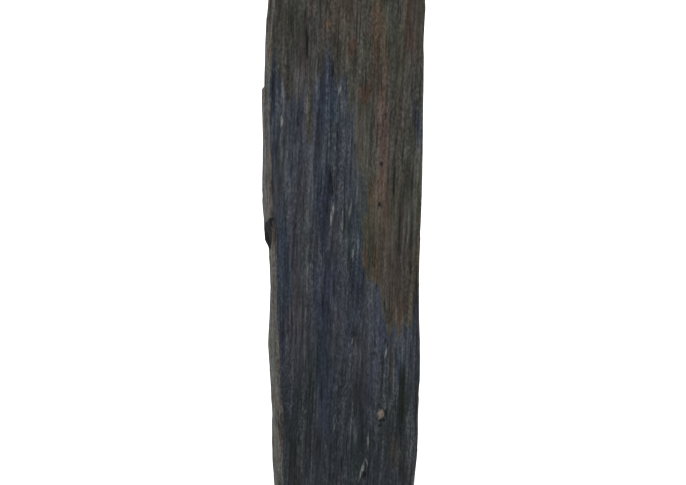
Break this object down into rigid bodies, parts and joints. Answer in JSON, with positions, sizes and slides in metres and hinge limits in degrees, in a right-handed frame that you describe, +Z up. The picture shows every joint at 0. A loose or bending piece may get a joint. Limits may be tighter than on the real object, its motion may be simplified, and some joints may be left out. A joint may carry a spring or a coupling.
{
  "type": "slate slab",
  "caption": "Upright slab of fibrous blue-grey slate with rust-brown staining, split on its faces and sides, sawn flat at the foot and broken at the top.",
  "frame": {"origin": "middle of the bounding box's underside, in the plane of the sawn foot", "axes": "+Z up along the fibre, -Y out of the main cleavage face, +X to the right as one looks at that face"},
  "size_m": [0.2292, 0.0906, 1],
  "materials": {
    "slate": "split slate, dull, stained rust brown by iron in streaks that run along the fibre"
  },
  "bodies": {
    "root": {"slab": "slate"}
  },
  "joints": []
}
